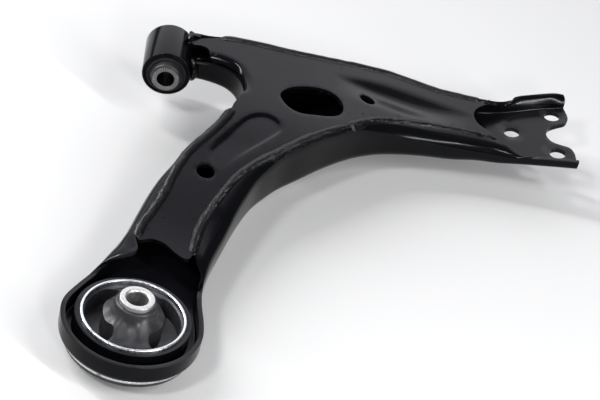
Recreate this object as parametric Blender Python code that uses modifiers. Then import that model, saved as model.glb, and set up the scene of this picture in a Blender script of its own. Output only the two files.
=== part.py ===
"""Pressed-steel front suspension control arm with its two rubber bushes.

Working frame, in millimetres: the rear bush stands on Z at the origin, the pivot axis runs
towards +Y and the ball-joint plate lies out along +X. The last step moves the whole arm so
that the model origin is the centre of its footprint, at its lowest point.
"""
import math

import bmesh
import bpy
from mathutils import Matrix, Vector
from mathutils.geometry import delaunay_2d_cdt

MM = 0.001

# Sheet metal
SHELL_THICKNESS = 3.2
PLATE_THICKNESS = 3.0
SHELL_TURNS = 4
SEAM_GAP = 1.8
TUCK = 4.6
PART_GAP = 0.3
OUTLINE_STEP = 7.0
FLOOR_GRID = 15.0
PLATE_GRID = 9.0

# Rear cup and bush, about Z
CUP_RADIUS = 46.5
CUP_RIM_Z = -4.0
CUP_FLOOR_Z = -18.2
COLLAR_CURVE = 3.4
COLLAR_TOP = -1.8
REAR_SHELL_RADIUS = 34.5
REAR_SHELL_WALL = 2.0
REAR_SHELL_LENGTH = 20.6
REAR_FLANGE_RADIUS = 43.4
REAR_SLEEVE_RADIUS = 11.4
REAR_SLEEVE_BORE = 7.0
REAR_SLEEVE_TOP = 14.0
REAR_SLEEVE_BOTTOM = -34.0
POCKET_FLOOR = -16.0

# Front eye and bush, about the pivot axis
EYE_Y = 280.0
EYE_Z = 13.0
EYE_RADIUS = 18.0
EYE_WALL = 2.0
EYE_HALF_LENGTH = 20.4
FRONT_SHELL_WALL = 1.4
FRONT_SLEEVE_RADIUS = 9.7
FRONT_SLEEVE_BORE = 6.3
FRONT_SLEEVE_HALF_LENGTH = 27.2
SERRATIONS = 36
SERRATION_DEPTH = 0.7

# Ball-joint plate
BOLT_RADIUS = 6.25
BOLT_HOLES = ((273.2, 295.5), (306.3, 321.0), (306.3, 270.8))
PLATE_CENTRE_X = 295.0
PLATE_CENTRE_Z = 2.2
PLATE_SLOPE = 0.16
NEAR_LIP = 5.0
FAR_FLANGE = 7.6
FLANGE_LIP = 3.5

BEAD_WIDTH = 8.0
BEAD_HEIGHT = 2.6


def smooth(value, low, high):
    """Smooth step from 0 at low to 1 at high."""
    t = min(max((value - low) / (high - low), 0.0), 1.0)
    return t * t * (3.0 - 2.0 * t)


def mix(a, b, t):
    return a + (b - a) * t


def soft_ramp(value, start, stop, width=12.0):
    """Straight ramp of slope one between start and stop, with rounded ends."""
    rise = width * math.log1p(math.exp(min((value - start) / width, 60.0)))
    fall = width * math.log1p(math.exp(min((value - stop) / width, 60.0)))
    return rise - fall


def ball_joint_plane(x):
    """Top face of the flat ball-joint plate, which climbs outboard."""
    return PLATE_CENTRE_Z + PLATE_SLOPE * (x - PLATE_CENTRE_X)


def crown_height(x, y):
    """Top face of the closing plate: up the neck, level at the shoulder, down to both ends."""
    z = 8.0 + 0.17 * soft_ramp(y, 58.0, 200.0)
    z -= 0.05 * soft_ramp(x, 40.0, 105.0)
    z -= 0.21 * soft_ramp(x, 108.0, 204.0)
    z -= 0.30 * soft_ramp(-x, -34.0, 0.0, 5.0) * smooth(y, 240.0, 262.0)
    return z


def underside_height(x, y):
    """Outer face of the floor of the lower shell."""
    z = CUP_FLOOR_Z + 0.035 * soft_ramp(y, 50.0, 200.0)
    leg = smooth(x, 100.0, 42.0) * smooth(y, 205.0, 262.0)
    z = mix(z, 4.0, leg)
    return mix(z, ball_joint_plane(x) - SHELL_THICKNESS, smooth(x, 205.0, 250.0))


def spline(points, step, closed=True):
    """Evenly divided Catmull-Rom curve through the points."""
    count = len(points)
    spans = count if closed else count - 1
    out = []
    for i in range(spans):
        if closed:
            p = [points[(i + k - 1) % count] for k in range(4)]
        else:
            p = [points[min(max(i + k - 1, 0), count - 1)] for k in range(4)]
        p = [Vector(q) for q in p]
        parts = max(1, round((p[2] - p[1]).length / step))
        for j in range(parts):
            t = j / parts
            out.append(
                0.5 * (2.0 * p[1] + (p[2] - p[0]) * t
                       + (2.0 * p[0] - 5.0 * p[1] + 4.0 * p[2] - p[3]) * t * t
                       + (3.0 * p[1] - p[0] - 3.0 * p[2] + p[3]) * t * t * t))
    if not closed:
        out.append(Vector(points[-1]))
    return out


def offset_loop(loop, distance):
    """Loop moved outward by a distance."""
    return [p + n * distance for p, n in zip(loop, outward_normals(loop))]


def outward_normals(loop):
    """Outward normals of a counter-clockwise loop."""
    count = len(loop)
    normals = []
    for i in range(count):
        along = loop[(i + 1) % count] - loop[i - 1]
        normals.append(Vector((along.y, -along.x)).normalized())
    return normals


def corner_room(loop):
    """Largest safe inward offset at each point of a counter-clockwise loop."""
    count = len(loop)
    room = []
    for i in range(count):
        before = loop[i] - loop[i - 1]
        after = loop[(i + 1) % count] - loop[i]
        turn = math.atan2(before.x * after.y - before.y * after.x, before.dot(after))
        radius = 0.5 * (before.length + after.length) / turn if turn > 0.02 else 60.0
        room.append(0.6 * radius)
    normals = outward_normals(loop)
    for i in range(count):
        room[i] = min(room[i], 0.42 * reach(loop[i], -normals[i], loop, 80.0))
    return [min(room[(i + k) % count] for k in (-2, -1, 0, 1, 2)) for i in range(count)]


def inside(point, loop):
    """Whether a point lies within a closed loop."""
    hit = False
    for i in range(len(loop)):
        a = loop[i - 1]
        b = loop[i]
        if (a.y > point.y) != (b.y > point.y):
            if point.x < a.x + (point.y - a.y) * (b.x - a.x) / (b.y - a.y):
                hit = not hit
    return hit


def distance_to_path(point, path):
    """Shortest distance from a point to an open path."""
    best = 1e9
    for i in range(len(path) - 1):
        span = path[i + 1] - path[i]
        t = min(max((point - path[i]).dot(span) / span.length_squared, 0.0), 1.0)
        best = min(best, (point - path[i] - span * t).length)
    return best


def distance_to_loop(point, loop):
    return distance_to_path(point, loop + [loop[0]])


def reach(point, direction, loop, limit):
    """Distance from a point along a direction to the first crossing of a loop."""
    best = limit
    for i in range(len(loop)):
        a = loop[i - 1]
        span = loop[i] - a
        cross = direction.x * span.y - direction.y * span.x
        if abs(cross) < 1e-9:
            continue
        gap = a - point
        along = (gap.x * span.y - gap.y * span.x) / cross
        across = (gap.x * direction.y - gap.y * direction.x) / cross
        if 0.0 <= across <= 1.0 and 0.0 < along < best:
            best = along
    return best


def circle(centre, radius, count):
    return [Vector((centre[0] + radius * math.cos(math.tau * k / count),
                    centre[1] + radius * math.sin(math.tau * k / count)))
            for k in range(count)]


# Outlines seen from above --------------------------------------------------------------

SHELL_OUTLINE = spline(
    [(9, 274), (14.5, 271.8), (21, 270.4), (27, 269.6), (33, 268.4), (39, 266.6),
     (46, 263.4), (51.6, 258.2), (55.3, 250.6), (57.2, 242.4), (57.4, 233.8),
     (54, 223), (48, 213), (41.5, 202), (33, 184), (26.4, 171), (19.6, 158), (12, 144),
     (3.6, 127.5), (-2.6, 110), (-7.8, 91), (-12.4, 74), (-18, 60), (-28, 42), (-38, 25)]
    + [(CUP_RADIUS * math.cos(math.radians(a)), CUP_RADIUS * math.sin(math.radians(a)))
       for a in range(170, 371, 20)]
    + [(43.6, 25), (43, 39), (45, 53), (47.8, 66), (50.8, 77), (54, 88), (59, 106),
       (65, 124.5), (73, 144.5), (82.8, 160.5), (93, 174.5), (107.3, 189.8), (126, 210),
       (145, 227.2), (159.5, 236.8), (172, 242.6), (190, 248), (214, 252.2), (236, 254),
       (258, 254.6), (280, 254.8), (304, 254.2), (326, 253.5), (333, 256), (335, 264),
       (335, 295), (335, 328), (333, 336), (326, 338.5), (312, 336.5), (298, 333.5),
       (280, 328.5), (262, 324.3), (246, 322.2), (230, 321.6), (213, 321.8), (194, 323),
       (172, 322.6), (147, 317), (122, 309.5), (96, 304.2), (72, 303), (46, 302),
       (24, 298), (9, 296.6), (4.8, 294.6), (2.8, 291.0), (2.8, 285), (4.6, 280.4)],
    OUTLINE_STEP)

PLATE_OUTLINE = spline(
    [(31, 269.4), (36.4, 268.2), (41, 266.6), (46.2, 264), (51.6, 259), (55, 251.6),
     (56.7, 243), (56.9, 234), (53.6, 223.4), (49.5, 212.6), (46, 198.5), (37.4, 180.5),
     (26, 161.8), (20.6, 151), (13, 131), (6.6, 105), (-2.4, 81), (-5.4, 67), (-4.8, 63.2), (-1.4, 64),
     (3.6, 66.6), (9, 66.4), (14.6, 63.8), (20, 58.8), (25.4, 54.8), (29.6, 53.6),
     (32.4, 57.6), (33.6, 68), (35.2, 81), (38.8, 95), (46.2, 113.5), (56.2, 136),
     (69, 154.5), (83.3, 169.3), (98.3, 186), (113, 201), (126.5, 214.5), (141, 229.2),
     (154.5, 242.6), (168, 251.4), (182, 258.2), (197, 263.6), (211, 267), (228, 268.8),
     (245, 268.4), (254.6, 267.2), (256.4, 270), (250, 276), (243.4, 281), (240, 287.4),
     (239.2, 295), (241.8, 303), (248, 310), (254.4, 314.6), (251.8, 316.2), (245, 316.2),
     (230, 316.8), (213, 317), (194, 318.2), (173, 317.8), (148, 312.2), (122, 304.6),
     (96, 299.4), (72, 298.2), (46, 297), (30, 294.2), (14, 292.6), (8, 291.8), (6.6, 289.4),
     (8.6, 286), (14, 285.4), (21, 284.4), (26, 281.4), (28.6, 276.8), (29, 272.2)],
    OUTLINE_STEP * 0.8)

# Stretch of the leg wall that the closing plate rolls down over.
ROLL_PATH = spline(
    [(20, 270.2), (27, 269.3), (33, 268.1), (39, 266.2), (46, 262.9), (51, 257.6),
     (54.2, 250), (55.8, 242), (56, 233.8), (53, 224.6)],
    OUTLINE_STEP, closed=False)

OVAL_OUTLINE = spline(
    [(83, 238), (86, 244.5), (90.5, 250), (98, 255), (107, 259), (115, 261), (122, 260.8),
     (127.5, 258), (131, 253), (132.5, 245.5), (131.3, 238.5), (127.6, 232.4), (120, 227.4),
     (110, 223.8), (101, 221), (94, 221.8), (88.6, 225.8), (84.8, 231.6)],
    5.0)
NECK_HOLE = circle((34.8, 137.6), 6.4, 20)
ARM_HOLE = circle((152.2, 270.0), 6.0, 20)

TONGUE_OUTLINE = spline(
    [(47, 143), (55, 155.5), (65.4, 169), (77, 183), (86, 195.6), (84.4, 204), (76, 209.4),
     (66, 206.6), (57.6, 198), (46, 177), (36, 158), (38, 146)],
    6.0)

LENS_SPAN = (126.0, 238.0)
LENS_DEPTH = 3.6
ROLL_WIDTH = 6.8
ROLL_DROP = 10.5


def lens_edges(x):
    """Near edge and width of the long pressed step on the outboard arm."""
    along = (x - LENS_SPAN[0]) / (LENS_SPAN[1] - LENS_SPAN[0])
    along = min(max(along, 0.0), 1.0)
    near = 285.6 + 6.0 * along
    return near, 0.8 + 11.6 * math.sin(math.pi * along)


def lens_marks():
    marks = []
    for k in range(1, 14):
        x = mix(LENS_SPAN[0], LENS_SPAN[1], k / 14)
        near, width = lens_edges(x)
        marks += [Vector((x, near)), Vector((x, near + 0.5 * width)), Vector((x, near + width))]
    return marks


FORK_OUTLINE = spline(
    [(350, 240), (322, 245), (319.6, 262), (319, 272), (316, 279.6), (308.4, 283),
     (302, 287.4), (299.2, 295.6), (302, 304), (309, 309), (316, 313), (318.2, 320),
     (317, 329), (315.4, 337), (315, 346), (350, 352), (380, 295)],
    3.5)


def plate_height(x, y):
    """Top face of the closing plate with its pressed shapes."""
    point = Vector((x, y))
    z = crown_height(x, y)
    roll = ROLL_DROP * smooth(y, 226.0, 250.0)
    if x < 75.0 and roll > 0.1:
        lean = max(1.0 - distance_to_path(point, ROLL_PATH) / ROLL_WIDTH, 0.0)
        z -= roll * (1.0 - math.sqrt(1.0 - min(lean * lean, 0.99)))
    if 30.0 < x < 95.0 and 120.0 < y < 218.0:
        depth = distance_to_loop(point, TONGUE_OUTLINE)
        signed = depth if inside(point, TONGUE_OUTLINE) else -depth
        z -= 1.6 * smooth(signed, -1.0, 2.2) * smooth(y, 138.0, 176.0)
    if LENS_SPAN[0] < x < LENS_SPAN[1]:
        along = (x - LENS_SPAN[0]) / (LENS_SPAN[1] - LENS_SPAN[0])
        near, width = lens_edges(x)
        climb = min(max((y - near) / width, 0.0), 1.0)
        sink = smooth(y, near - 26.0, near) * (1.0 - climb)
        z -= LENS_DEPTH * math.sin(math.pi * along) * sink
    return z


# Scene helpers --------------------------------------------------------------------------

def fresh_scene():
    for item in list(bpy.data.objects):
        bpy.data.objects.remove(item, do_unlink=True)
    for group in list(bpy.data.collections):
        bpy.data.collections.remove(group)


def make_collection(name):
    group = bpy.data.collections.new(name)
    bpy.context.scene.collection.children.link(group)
    return group


fresh_scene()
ARM = make_collection("control_arm")
CUTTERS = make_collection("cutters")


def material(name, colour, roughness, metallic):
    mat = bpy.data.materials.new(name)
    mat.use_nodes = True
    shader = mat.node_tree.nodes["Principled BSDF"]
    shader.inputs["Base Color"].default_value = (*colour, 1.0)
    shader.inputs["Roughness"].default_value = roughness
    shader.inputs["Metallic"].default_value = metallic
    return mat


BLACK_COAT = material("black_coat", (0.012, 0.012, 0.015), 0.28, 0.0)
WELD_COAT = material("weld_coat", (0.014, 0.014, 0.017), 0.35, 0.0)
ZINC = material("zinc_steel", (0.62, 0.64, 0.66), 0.32, 1.0)
SLEEVE_STEEL = material("sleeve_steel", (0.70, 0.70, 0.69), 0.38, 1.0)
BUSH_RUBBER = material("bush_rubber", (0.020, 0.020, 0.022), 0.55, 0.0)


def new_object(name, verts, faces, mat, group, location=(0, 0, 0), sheet_side=0):
    """Object from millimetre vertices; a sheet faces up (1) or down (-1), a solid faces out."""
    mesh = bpy.data.meshes.new(name)
    mesh.from_pydata([tuple(c * MM for c in v) for v in verts], [], faces)
    bm = bmesh.new()
    bm.from_mesh(mesh)
    bmesh.ops.remove_doubles(bm, verts=bm.verts, dist=0.01 * MM)
    bmesh.ops.recalc_face_normals(bm, faces=bm.faces)
    if sheet_side:
        facing = sum(face.normal.z * face.calc_area() for face in bm.faces)
        if facing * sheet_side < 0.0:
            bmesh.ops.reverse_faces(bm, faces=bm.faces)
    bm.to_mesh(mesh)
    bm.free()
    if mat:
        mesh.materials.append(mat)
    obj = bpy.data.objects.new(name, mesh)
    obj.location = tuple(c * MM for c in location)
    group.objects.link(obj)
    return obj


def make_cutter(name, loop, low, high):
    """Vertical prism cutter over a closed outline."""
    count = len(loop)
    verts = [(p.x, p.y, low) for p in loop] + [(p.x, p.y, high) for p in loop]
    faces = [tuple(range(count)), tuple(range(count, 2 * count))]
    for i in range(count):
        j = (i + 1) % count
        faces.append((i, j, j + count, i + count))
    cutter = new_object(name, verts, faces, None, CUTTERS)
    cutter.hide_render = True
    cutter.display_type = "WIRE"
    return cutter


def make_round_cutter(name, radius, depth, location, rotation):
    bpy.ops.mesh.primitive_cylinder_add(
        vertices=64, radius=radius * MM, depth=depth * MM,
        location=tuple(c * MM for c in location), rotation=rotation)
    cutter = bpy.context.object
    cutter.name = name
    for group in list(cutter.users_collection):
        group.objects.unlink(cutter)
    CUTTERS.objects.link(cutter)
    cutter.hide_render = True
    cutter.display_type = "WIRE"
    return cutter


def cut(obj, cutter):
    mod = obj.modifiers.new(cutter.name, "BOOLEAN")
    mod.operation = "DIFFERENCE"
    mod.solver = "EXACT"
    mod.object = cutter


def thicken(obj, thickness, side, even=True):
    mod = obj.modifiers.new("thickness", "SOLIDIFY")
    mod.thickness = thickness * MM
    mod.offset = side
    mod.use_even_offset = even


def fill_sheet(verts, faces, ring, ring_start, holes, grid, height, marks=()):
    """Fill a ring with an even net of triangles, leaving holes open and keeping the marks."""
    points = [Vector(p) for p in ring]
    loops = [list(range(len(ring)))]
    for hole in holes:
        start = len(points)
        points.extend(hole)
        loops.append(list(range(start, start + len(hole))))
    rims = [list(ring)] + holes
    for mark in marks:
        if inside(mark, ring) and min(distance_to_loop(mark, rim) for rim in rims) > 2.5:
            points.append(mark)
    marked = points[loops[-1][-1] + 1:]
    low_x = min(p.x for p in ring)
    high_x = max(p.x for p in ring)
    low_y = min(p.y for p in ring)
    high_y = max(p.y for p in ring)
    row = 0
    y = low_y + grid
    while y < high_y:
        x = low_x + grid * (0.5 + 0.5 * (row % 2))
        while x < high_x:
            p = Vector((x, y))
            clear = inside(p, ring) and distance_to_loop(p, ring) > grid * 0.55
            for hole in holes:
                if inside(p, hole) or distance_to_loop(p, hole) < grid * 0.4:
                    clear = False
            if any((p - mark).length < grid * 0.5 for mark in marked):
                clear = False
            if clear:
                points.append(p)
            x += grid
        y += grid * 0.87
        row += 1
    edges = [(loop[k - 1], loop[k]) for loop in loops for k in range(len(loop))]
    flat, _, triangles, _, _, _ = delaunay_2d_cdt(points, edges, [], 0, 1e-6)
    index = {}
    for k, p in enumerate(flat):
        if k < len(ring):
            index[k] = ring_start + k
        else:
            index[k] = len(verts)
            verts.append((p.x, p.y, height(p.x, p.y)))
    for tri in triangles:
        centre = sum((flat[k] for k in tri), Vector((0.0, 0.0))) / 3.0
        if not inside(centre, ring) or any(inside(centre, hole) for hole in holes):
            continue
        faces.append(tuple(index[k] for k in tri))


def join_rings(faces, start, count, rings):
    for r in range(rings - 1):
        for i in range(count):
            j = (i + 1) % count
            a = start + r * count
            b = a + count
            faces.append((a + i, a + j, b + j, b + i))


# Lower shell ----------------------------------------------------------------------------

def shell_section(point, normal, room, shoulder):
    """Shoulder width, shoulder drop, rim height and floor radius at one outline point."""
    x = point.x
    y = point.y
    turn = min(max(shoulder - SEAM_GAP, 0.0), 17.0)
    rim_point = point - normal * turn
    rim = crown_height(rim_point.x, rim_point.y) - TUCK * smooth(shoulder, 6.6, 5.2)
    drop = 8.0
    radius = 9.0
    if x < 62.0 and y < 279.0:
        tucked = smooth(y, 203.0, 214.0)
        turn *= 1.0 - tucked
        rim = mix(rim, min(22.4, crown_height(x, y) - 9.2), tucked)
        rim += 2.0 * smooth(x, 22.0, 14.0) * tucked
    if x < 45.0 and y > 290.0:
        turn *= smooth(x, 20.0, 36.0)
        rim += 3.5 * smooth(x, 27.0, 13.0)
    if y > 255.0:
        rim = mix(rim, 17.0, smooth(x, 9.5, 6.0))
        radius = mix(2.0, radius, smooth(x, 5.0, 22.0))
    if y < 100.0:
        up = smooth(y, 36.0, 58.0)
        turn *= smooth(y, 42.0, 61.0)
        drop = mix(2.0, drop, up)
        rim = mix(CUP_RIM_Z, crown_height(x, y), up)
        radius = mix(4.5, radius, smooth(y, 30.0, 70.0))
    if x > 240.0:
        out = smooth(x, 256.0, 281.0)
        near = y < 295.0
        turn = min(turn, mix(17.0, 10.5, smooth(x, 240.0, 252.0)) if near else 4.5)
        turn = mix(turn, 0.0 if near else -FLANGE_LIP, out)
        drop = mix(drop, 2.0 if near else 4.0, out)
        level = ball_joint_plane(x) + (NEAR_LIP if near else FAR_FLANGE - 3.0 * smooth(x, 309.0, 317.0))
        rise = out if near else smooth(x, 248.0, 290.0)
        rim = mix(crown_height(min(x, 262.0), y), level, rise)
        radius = mix(radius, 4.6, smooth(x, 236.0, 262.0))
    radius = min(radius, room)
    squeeze = min(1.0, 0.9 * (rim - underside_height(x, y)) / (drop + radius))
    return min(turn, room), drop * squeeze, rim, radius * squeeze


def build_lower_shell():
    loop = SHELL_OUTLINE
    normals = outward_normals(loop)
    gaps = [reach(p, -n, PLATE_OUTLINE, 30.0) for p, n in zip(loop, normals)]
    shoulders = [min(gaps[i - 1], gaps[i], gaps[(i + 1) % len(gaps)]) for i in range(len(gaps))]
    sections = [shell_section(*item) for item in zip(loop, normals, corner_room(loop), shoulders)]
    verts = []
    faces = []
    rings = 0
    for k in range(SHELL_TURNS):
        angle = 0.5 * math.pi * k / (SHELL_TURNS - 1)
        for p, n, (turn, drop, rim, _) in zip(loop, normals, sections):
            q = p - n * turn * (1.0 - math.sin(angle))
            verts.append((q.x, q.y, rim - drop * (1.0 - math.cos(angle))))
        rings += 1
    floor_ring = []
    for k in range(SHELL_TURNS):
        angle = 0.5 * math.pi * k / (SHELL_TURNS - 1)
        for p, n, (_, _, _, radius) in zip(loop, normals, sections):
            q = p - n * radius * (1.0 - math.cos(angle))
            verts.append((q.x, q.y, underside_height(q.x, q.y) + radius * (1.0 - math.sin(angle))))
            if k == SHELL_TURNS - 1:
                floor_ring.append(q)
        rings += 1
    join_rings(faces, 0, len(loop), rings)
    collar = REAR_SHELL_RADIUS + PART_GAP
    holes = [circle((0.0, 0.0), collar + COLLAR_CURVE, 64)]
    holes += [circle(c, BOLT_RADIUS, 32) for c in BOLT_HOLES]
    fill_sheet(verts, faces, floor_ring, (rings - 1) * len(loop), holes, FLOOR_GRID,
               underside_height)
    start = len(verts)
    for k in range(5):
        angle = 0.5 * math.pi * min(k, 3) / 3
        for p in circle((0.0, 0.0), collar + COLLAR_CURVE * (1.0 - math.sin(angle)), 64):
            z = underside_height(p.x, p.y) + COLLAR_CURVE * (1.0 - math.cos(angle))
            verts.append((p.x, p.y, COLLAR_TOP if k == 4 else z))
    join_rings(faces, start, 64, 5)
    shell = new_object("lower_shell", verts, faces, BLACK_COAT, ARM, sheet_side=-1)
    thicken(shell, SHELL_THICKNESS, -1.0)
    cut(shell, make_cutter("fork_cutter", FORK_OUTLINE, -60.0, 80.0))
    eye = make_round_cutter("shell_eye_cutter", EYE_RADIUS + PART_GAP, 120.0,
                            (0.0, EYE_Y, EYE_Z), (math.pi / 2, 0.0, 0.0))
    cut(shell, eye)
    return shell


# Closing plate --------------------------------------------------------------------------

def build_closing_plate():
    loop = PLATE_OUTLINE
    normals = outward_normals(loop)
    room = corner_room(loop)
    verts = []
    faces = []
    insets = (0.0, 1.0, 2.8, 5.4, 8.6)
    for inset in insets:
        ring = [p - n * min(inset, r * inset / insets[-1])
                for p, n, r in zip(loop, normals, room)]
        verts.extend((q.x, q.y, plate_height(q.x, q.y)) for q in ring)
    join_rings(faces, 0, len(loop), len(insets))
    fill_sheet(verts, faces, ring, (len(insets) - 1) * len(loop),
               [OVAL_OUTLINE, NECK_HOLE, ARM_HOLE], PLATE_GRID, plate_height,
               offset_loop(TONGUE_OUTLINE, 1.2) + offset_loop(TONGUE_OUTLINE, -2.6)
               + lens_marks())
    plate = new_object("closing_plate", verts, faces, BLACK_COAT, ARM, sheet_side=1)
    thicken(plate, PLATE_THICKNESS, -1.0, even=False)
    eye = make_round_cutter("plate_eye_cutter", EYE_RADIUS + PART_GAP, 120.0,
                            (0.0, EYE_Y, EYE_Z), (math.pi / 2, 0.0, 0.0))
    cut(plate, eye)
    return plate


# Turned pieces --------------------------------------------------------------------------

def turned(name, profile, steps, mat, location, along_y=False):
    """Closed ring profile (radius, height), outer side listed first from the top down."""
    mesh = bpy.data.meshes.new(name)
    count = len(profile)
    mesh.from_pydata([(r * MM, 0.0, z * MM) for r, z in profile],
                     [(i, (i + 1) % count) for i in range(count)], [])
    mesh.materials.append(mat)
    obj = bpy.data.objects.new(name, mesh)
    obj.location = tuple(c * MM for c in location)
    if along_y:
        obj.rotation_euler = (-math.pi / 2, 0.0, 0.0)
    ARM.objects.link(obj)
    screw = obj.modifiers.new("turn", "SCREW")
    screw.axis = "Z"
    screw.angle = math.tau
    screw.steps = steps
    screw.render_steps = steps
    screw.use_merge_vertices = True
    screw.merge_threshold = 0.00001
    screw.use_smooth_shade = True
    return obj


def mirrored_profile(outer_half, inner_half):
    """Profile symmetric about its middle, from the halves above it."""
    outer = list(outer_half) + [(r, -z) for r, z in reversed(outer_half)]
    inner = [(r, -z) for r, z in inner_half] + [(r, z) for r, z in reversed(inner_half)]
    return outer + inner


def void_outline(side):
    """Kidney-shaped void through the rear rubber on one side of the sleeve."""
    outer = 31.2
    inner = 20.0
    span = math.radians(50.0)
    middle = 0.5 * (outer + inner)
    half = 0.5 * (outer - inner)
    facing = 0.0 if side > 0 else math.pi
    points = []
    for k in range(13):
        a = facing - span + 2.0 * span * k / 12
        points.append(Vector((outer * math.cos(a), outer * math.sin(a))))
    for end, sense in ((facing + span, 1.0), (facing - span, -1.0)):
        centre = Vector((middle * math.cos(end), middle * math.sin(end)))
        across = Vector((math.cos(end), math.sin(end))) * sense
        forward = Vector((-math.sin(end), math.cos(end))) * sense
        for k in range(1, 6):
            b = math.pi * k / 6
            points.append(centre + across * half * math.cos(b) + forward * half * math.sin(b))
        if sense > 0:
            for k in range(13):
                a = facing + span - 2.0 * span * k / 12
                points.append(Vector((inner * math.cos(a), inner * math.sin(a))))
    return points


def build_rear_bush():
    shell_out = REAR_SHELL_RADIUS
    shell_in = REAR_SHELL_RADIUS - REAR_SHELL_WALL
    flange_top = CUP_FLOOR_Z - PART_GAP
    flange_low = -REAR_SHELL_LENGTH
    turned("rear_bush_outer_shell",
           [(shell_out - 0.7, 0.0), (shell_out, -0.7), (shell_out, flange_top),
            (REAR_FLANGE_RADIUS - 0.5, flange_top), (REAR_FLANGE_RADIUS, flange_top - 0.5),
            (REAR_FLANGE_RADIUS, flange_low + 0.5), (REAR_FLANGE_RADIUS - 0.5, flange_low),
            (shell_in, flange_low), (shell_in, -0.4), (shell_in + 0.4, 0.0)],
           64, ZINC, (0, 0, 0))
    wall = shell_in - PART_GAP
    bore = REAR_SLEEVE_RADIUS + PART_GAP
    lip = flange_low - PART_GAP
    rubber = turned("rear_bush_rubber",
                    [(bore, 11.0), (13.0, 10.8), (13.9, 9.6), (14.4, 7.2), (15.8, 4.4),
                     (18.4, 1.6), (22.2, -1.0), (27.0, -3.0), (31.0, -4.2), (wall, -4.4),
                     (wall, lip), (41.0, lip), (42.2, lip - 1.2), (41.8, lip - 3.4),
                     (39.4, lip - 4.6), (34.0, lip - 4.2), (31.0, lip - 2.0),
                     (25.0, -19.0), (18.0, -20.4), (14.6, -24.4), (13.6, -29.4),
                     (bore, -30.4)],
                    56, BUSH_RUBBER, (0, 0, 0))
    cut(rubber, make_cutter("void_outboard", void_outline(1), POCKET_FLOOR, 30.0))
    cut(rubber, make_cutter("void_inboard", void_outline(-1), POCKET_FLOOR, 30.0))
    turned("rear_bush_inner_sleeve",
           [(REAR_SLEEVE_RADIUS - 0.5, REAR_SLEEVE_TOP),
            (REAR_SLEEVE_RADIUS, REAR_SLEEVE_TOP - 0.5),
            (REAR_SLEEVE_RADIUS, REAR_SLEEVE_BOTTOM + 0.5),
            (REAR_SLEEVE_RADIUS - 0.5, REAR_SLEEVE_BOTTOM),
            (REAR_SLEEVE_BORE + 1.0, REAR_SLEEVE_BOTTOM),
            (REAR_SLEEVE_BORE, REAR_SLEEVE_BOTTOM + 1.2),
            (REAR_SLEEVE_BORE, REAR_SLEEVE_TOP - 1.2),
            (REAR_SLEEVE_BORE + 1.0, REAR_SLEEVE_TOP)],
           48, SLEEVE_STEEL, (0, 0, 0))


def serration_cutter(name, end):
    """Ring of radial slots biting into one end of the front sleeve."""
    inner = FRONT_SLEEVE_BORE + 0.8
    outer = FRONT_SLEEVE_RADIUS + 1.0
    verts = []
    faces = []
    for k in range(SERRATIONS):
        turn = Matrix.Rotation(math.tau * (k + 0.25) / SERRATIONS, 3, "Y")
        base = len(verts)
        for r, half in ((inner, 0.22), (outer, 0.34)):
            for s in (-half, half):
                for d in (SERRATION_DEPTH, -1.0):
                    y = EYE_Y + end * (FRONT_SLEEVE_HALF_LENGTH - d)
                    p = turn @ Vector((r, 0.0, s))
                    verts.append((p.x, y, p.z + EYE_Z))
        for quad in ((0, 1, 3, 2), (4, 6, 7, 5), (0, 4, 5, 1), (2, 3, 7, 6), (0, 2, 6, 4),
                     (1, 5, 7, 3)):
            faces.append(tuple(base + q for q in quad))
    cutter = new_object(name, verts, faces, None, CUTTERS)
    cutter.hide_render = True
    cutter.display_type = "WIRE"
    return cutter


def build_front_bush():
    centre = (0.0, EYE_Y, EYE_Z)
    half = EYE_HALF_LENGTH
    tube_in = EYE_RADIUS - EYE_WALL
    turned("front_eye_tube",
           mirrored_profile([(EYE_RADIUS - 0.6, half), (EYE_RADIUS, half - 0.6)],
                            [(tube_in + 0.3, half), (tube_in, half - 0.3)]),
           56, BLACK_COAT, centre, along_y=True)
    shell_out = tube_in - PART_GAP
    shell_in = shell_out - FRONT_SHELL_WALL
    turned("front_bush_outer_shell",
           mirrored_profile([(shell_out - 0.4, half - 0.2), (shell_out, half - 0.6)],
                            [(shell_in, half - 0.2)]),
           48, BLACK_COAT, centre, along_y=True)
    wall = shell_in - PART_GAP
    bore = FRONT_SLEEVE_RADIUS + PART_GAP
    turned("front_bush_rubber",
           mirrored_profile([(bore + 0.9, half + 5.6), (bore + 1.5, half + 4.4),
                             (bore + 1.8, half - 0.6), (wall - 1.2, half - 0.6),
                             (wall - 0.8, half + 1.0), (wall, half + 1.0)],
                            [(bore, half + 5.6)]),
           48, BUSH_RUBBER, centre, along_y=True)
    length = FRONT_SLEEVE_HALF_LENGTH
    sleeve = turned("front_bush_inner_sleeve",
                    mirrored_profile([(FRONT_SLEEVE_RADIUS, length)],
                                     [(FRONT_SLEEVE_BORE, length)]),
                    2 * SERRATIONS, SLEEVE_STEEL, centre, along_y=True)
    cut(sleeve, serration_cutter("serrations_rear", -1.0))
    cut(sleeve, serration_cutter("serrations_front", 1.0))


# Weld beads -----------------------------------------------------------------------------

def nearest(loop, point):
    return min(range(len(loop)), key=lambda i: (loop[i] - Vector(point)).length)


def seam_path(start, stop):
    """Part of the closing plate's edge, counter-clockwise from start to stop."""
    first = nearest(PLATE_OUTLINE, start)
    last = nearest(PLATE_OUTLINE, stop)
    count = len(PLATE_OUTLINE)
    return [PLATE_OUTLINE[(first + k) % count] for k in range((last - first) % count + 1)]


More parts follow.
